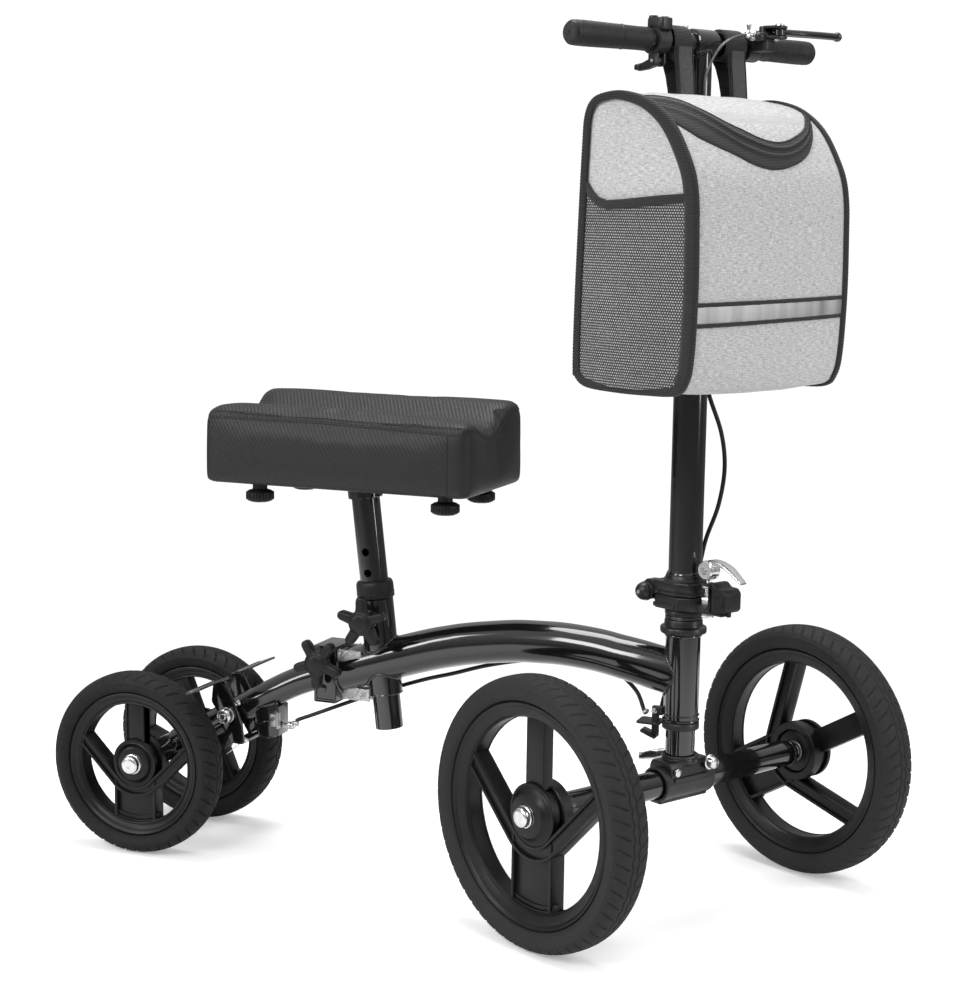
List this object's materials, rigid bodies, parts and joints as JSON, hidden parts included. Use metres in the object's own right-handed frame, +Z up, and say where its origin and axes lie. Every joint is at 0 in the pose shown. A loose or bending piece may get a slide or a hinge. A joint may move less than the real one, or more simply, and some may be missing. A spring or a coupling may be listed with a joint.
{
  "type": "knee scooter",
  "caption": "Steerable four-wheeled knee scooter with a padded knee rest, arched frame, folding height-adjustable stem, hand brake acting on the rear tyres and a soft front bag.",
  "frame": {"origin": "point on the ground below the middle of the object's box, on its centre plane; the vertical steering axis is 0.272 m ahead of it", "axes": "+X forward, +Y the rider's left, +Z up. The steered parts rest turned 28 degrees to the right, so steer = +28 degrees is straight ahead."},
  "size_m": [1.0292, 0.5596, 1.016],
  "materials": {
    "gloss_frame": "gloss black paint on steel tube",
    "satin_casting": "satin black paint on castings",
    "silver_steel": "zinc-plated and polished",
    "tyre": "matt black rubber",
    "rim_plastic": "satin moulded black",
    "black_plastic": "moulded, fine grain",
    "grip_rubber": "ribbed soft rubber",
    "cable_sleeve": "smooth sleeve",
    "pad_vinyl": "embossed twill-pattern vinyl",
    "bag_fabric": "light grey heather weave with black binding",
    "webbing": "black webbing"
  },
  "bodies": {
    "frame": {"main_frame": "gloss_frame", "rear_frame": "gloss_frame", "headset_upper": "satin_casting", "headset_lower": "satin_casting", "seat_collar": "black_plastic", "cable_guide": "satin_casting", "brake_cable_frame": "cable_sleeve", "cable_adjuster": "silver_steel", "brake_pivot_bolt": "silver_steel", "brake_spring": "silver_steel", "rear_axle_rod": "silver_steel"},
    "steering": {"steerer_tube": "gloss_frame", "steering_locknut": "satin_casting", "fold_base": "satin_casting", "hinge_pin": "satin_casting", "latch_skewer": "silver_steel", "axle_clamp": "satin_casting", "axle_skewer": "silver_steel", "front_axle_tube": "gloss_frame", "front_axle_rod": "silver_steel"},
    "stem": {"stem_tube": "gloss_frame", "fold_head": "satin_casting", "height_clamp": "satin_casting", "brake_cable_stem": "cable_sleeve"},
    "handlebar": {"handlebar": "gloss_frame", "grip_right": "grip_rubber", "grip_left": "grip_rubber", "brake_perch": "satin_casting", "lock_clamp": "satin_casting", "bag": "bag_fabric", "strap_right": "webbing", "strap_left": "webbing"},
    "seat": {"seat_post": "gloss_frame", "pad_board": "black_plastic", "knee_pad": "pad_vinyl", "pad_screw_rear_right": "black_plastic", "pad_screw_rear_left": "black_plastic", "pad_screw_front_right": "black_plastic", "pad_screw_front_left": "black_plastic"},
    "brake_arm": {"brake_yoke": "gloss_frame"},
    "brake_lever": {"brake_lever": "gloss_frame"},
    "lock_lever": {"lock_lever": "satin_casting"},
    "fold_lever": {"fold_lever": "silver_steel"},
    "safety_catch": {"safety_catch": "satin_casting"},
    "axle_lever": {"axle_lever": "silver_steel"},
    "height_lever": {"height_lever": "silver_steel"},
    "seat_knob": {"seat_knob": "black_plastic"},
    "frame_knob": {"frame_knob": "black_plastic"},
    "front_wheel_right": {"front_wheel_right_tyre": "tyre", "front_wheel_right_rim": "rim_plastic", "front_wheel_right_bearings": "silver_steel"},
    "front_wheel_left": {"front_wheel_left_tyre": "tyre", "front_wheel_left_rim": "rim_plastic", "front_wheel_left_bearings": "silver_steel"},
    "rear_wheel_right": {"rear_wheel_right_tyre": "tyre", "rear_wheel_right_rim": "rim_plastic", "rear_wheel_right_bearings": "silver_steel"},
    "rear_wheel_left": {"rear_wheel_left_tyre": "tyre", "rear_wheel_left_rim": "rim_plastic", "rear_wheel_left_bearings": "silver_steel"}
  },
  "joints": [
    {"name": "steer", "type": "hinge", "parent": "frame", "child": "steering", "pos_m": [0.27239, 0, 0.27], "axis": [0, 0, 1], "range_deg": [-17, 73]},
    {"name": "stem_fold", "type": "hinge", "parent": "steering", "child": "stem", "pos_m": [0.2406, 0.0169, 0.371], "axis": [-0.4695, -0.8829, 0], "range_deg": [0, 38]},
    {"name": "bar_height", "type": "slide", "parent": "stem", "child": "handlebar", "axis": [0, 0, 1], "range_m": [-0.12, 0.03], "deforming": ["brake_cable_stem"]},
    {"name": "seat_height", "type": "slide", "parent": "frame", "child": "seat", "axis": [-0.1207, 0, 0.9927], "range_m": [-0.0762, 0.0254]},
    {"name": "front_wheel_right_spin", "type": "hinge", "parent": "steering", "child": "front_wheel_right", "pos_m": [0.17028, -0.19204, 0.1525], "axis": [0.4695, 0.8829, 0], "continuous": true},
    {"name": "front_wheel_left_spin", "type": "hinge", "parent": "steering", "child": "front_wheel_left", "pos_m": [0.3745, 0.19204, 0.1525], "axis": [0.4695, 0.8829, 0], "continuous": true},
    {"name": "rear_wheel_right_spin", "type": "hinge", "parent": "frame", "child": "rear_wheel_right", "pos_m": [-0.40061, -0.079, 0.114], "axis": [0, 1, 0], "continuous": true},
    {"name": "rear_wheel_left_spin", "type": "hinge", "parent": "frame", "child": "rear_wheel_left", "pos_m": [-0.40061, 0.079, 0.114], "axis": [0, 1, 0], "continuous": true},
    {"name": "brake_lever_pull", "type": "hinge", "parent": "handlebar", "child": "brake_lever", "pos_m": [0.34703, 0.05092, 0.997], "axis": [0, 0, 1], "range_deg": [0, 15]},
    {"name": "brake_arm_swing", "type": "hinge", "parent": "frame", "child": "brake_arm", "pos_m": [-0.30461, 0, 0.171], "axis": [0, -1, 0], "range_deg": [0, 8]},
    {"name": "lock_lever_turn", "type": "hinge", "parent": "handlebar", "child": "lock_lever", "pos_m": [0.23619, -0.07022, 0.96], "axis": [-0.4695, -0.8829, 0], "range_deg": [0, 30]},
    {"name": "fold_lever_open", "type": "hinge", "parent": "steering", "child": "fold_lever", "pos_m": [0.30506, -0.01737, 0.403], "axis": [-0.4695, -0.8829, 0], "range_deg": [0, 90]},
    {"name": "safety_catch_tilt", "type": "hinge", "parent": "steering", "child": "safety_catch", "pos_m": [0.32537, -0.02817, 0.358], "axis": [0.4695, 0.8829, 0], "range_deg": [0, 15]},
    {"name": "axle_lever_open", "type": "hinge", "parent": "steering", "child": "axle_lever", "pos_m": [0.25419, 0.04139, 0.173], "axis": [0, 0, -1], "range_deg": [0, 90]},
    {"name": "height_lever_open", "type": "hinge", "parent": "stem", "child": "height_lever", "pos_m": [0.25323, 0.03001, 0.783], "axis": [0, 0, -1], "range_deg": [0, 60]},
    {"name": "seat_knob_turn", "type": "hinge", "parent": "frame", "child": "seat_knob", "pos_m": [-0.11081, -0.0395, 0.31], "axis": [0, -1, 0], "range_deg": [0, 720]},
    {"name": "frame_knob_turn", "type": "hinge", "parent": "frame", "child": "frame_knob", "pos_m": [-0.17061, -0.0366, 0.254], "axis": [0, -1, 0], "range_deg": [0, 720]}
  ],
  "couplings": [
    {"joint": "brake_arm_swing", "follows": "brake_lever_pull", "ratio": 0.53333}
  ]
}
